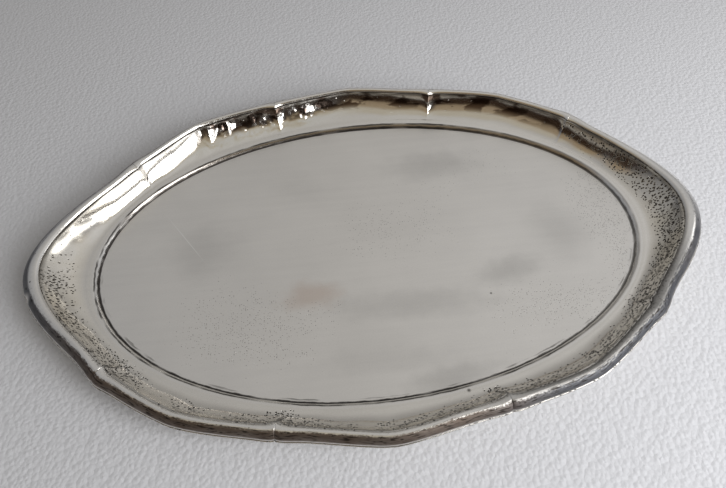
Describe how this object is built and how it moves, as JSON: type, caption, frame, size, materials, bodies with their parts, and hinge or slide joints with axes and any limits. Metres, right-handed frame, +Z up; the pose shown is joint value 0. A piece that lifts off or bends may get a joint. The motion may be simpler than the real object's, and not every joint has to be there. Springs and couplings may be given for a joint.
{
  "type": "oval serving salver",
  "caption": "Shaped-oval silver salver with a sunk oval well, a narrow ledge, a scooped and creased wall, and a moulded border soldered on in lengths.",
  "frame": {"origin": "on the table, under the middle of the outline", "axes": "+X along the length, +Y across it and away from the near side, +Z up out of the well"},
  "size_m": [0.3598, 0.2293, 0.0172],
  "materials": {
    "sheet_silver": "aged silver, softly polished, pitted",
    "border_silver": "aged silver, softly polished"
  },
  "bodies": {
    "root": {"tray_body": "sheet_silver", "border_right_end": "border_silver", "border_far_right": "border_silver", "border_far_side": "border_silver", "border_far_left": "border_silver", "border_left_end": "border_silver", "border_near_left": "border_silver", "border_near_side": "border_silver", "border_near_right": "border_silver"}
  },
  "joints": []
}
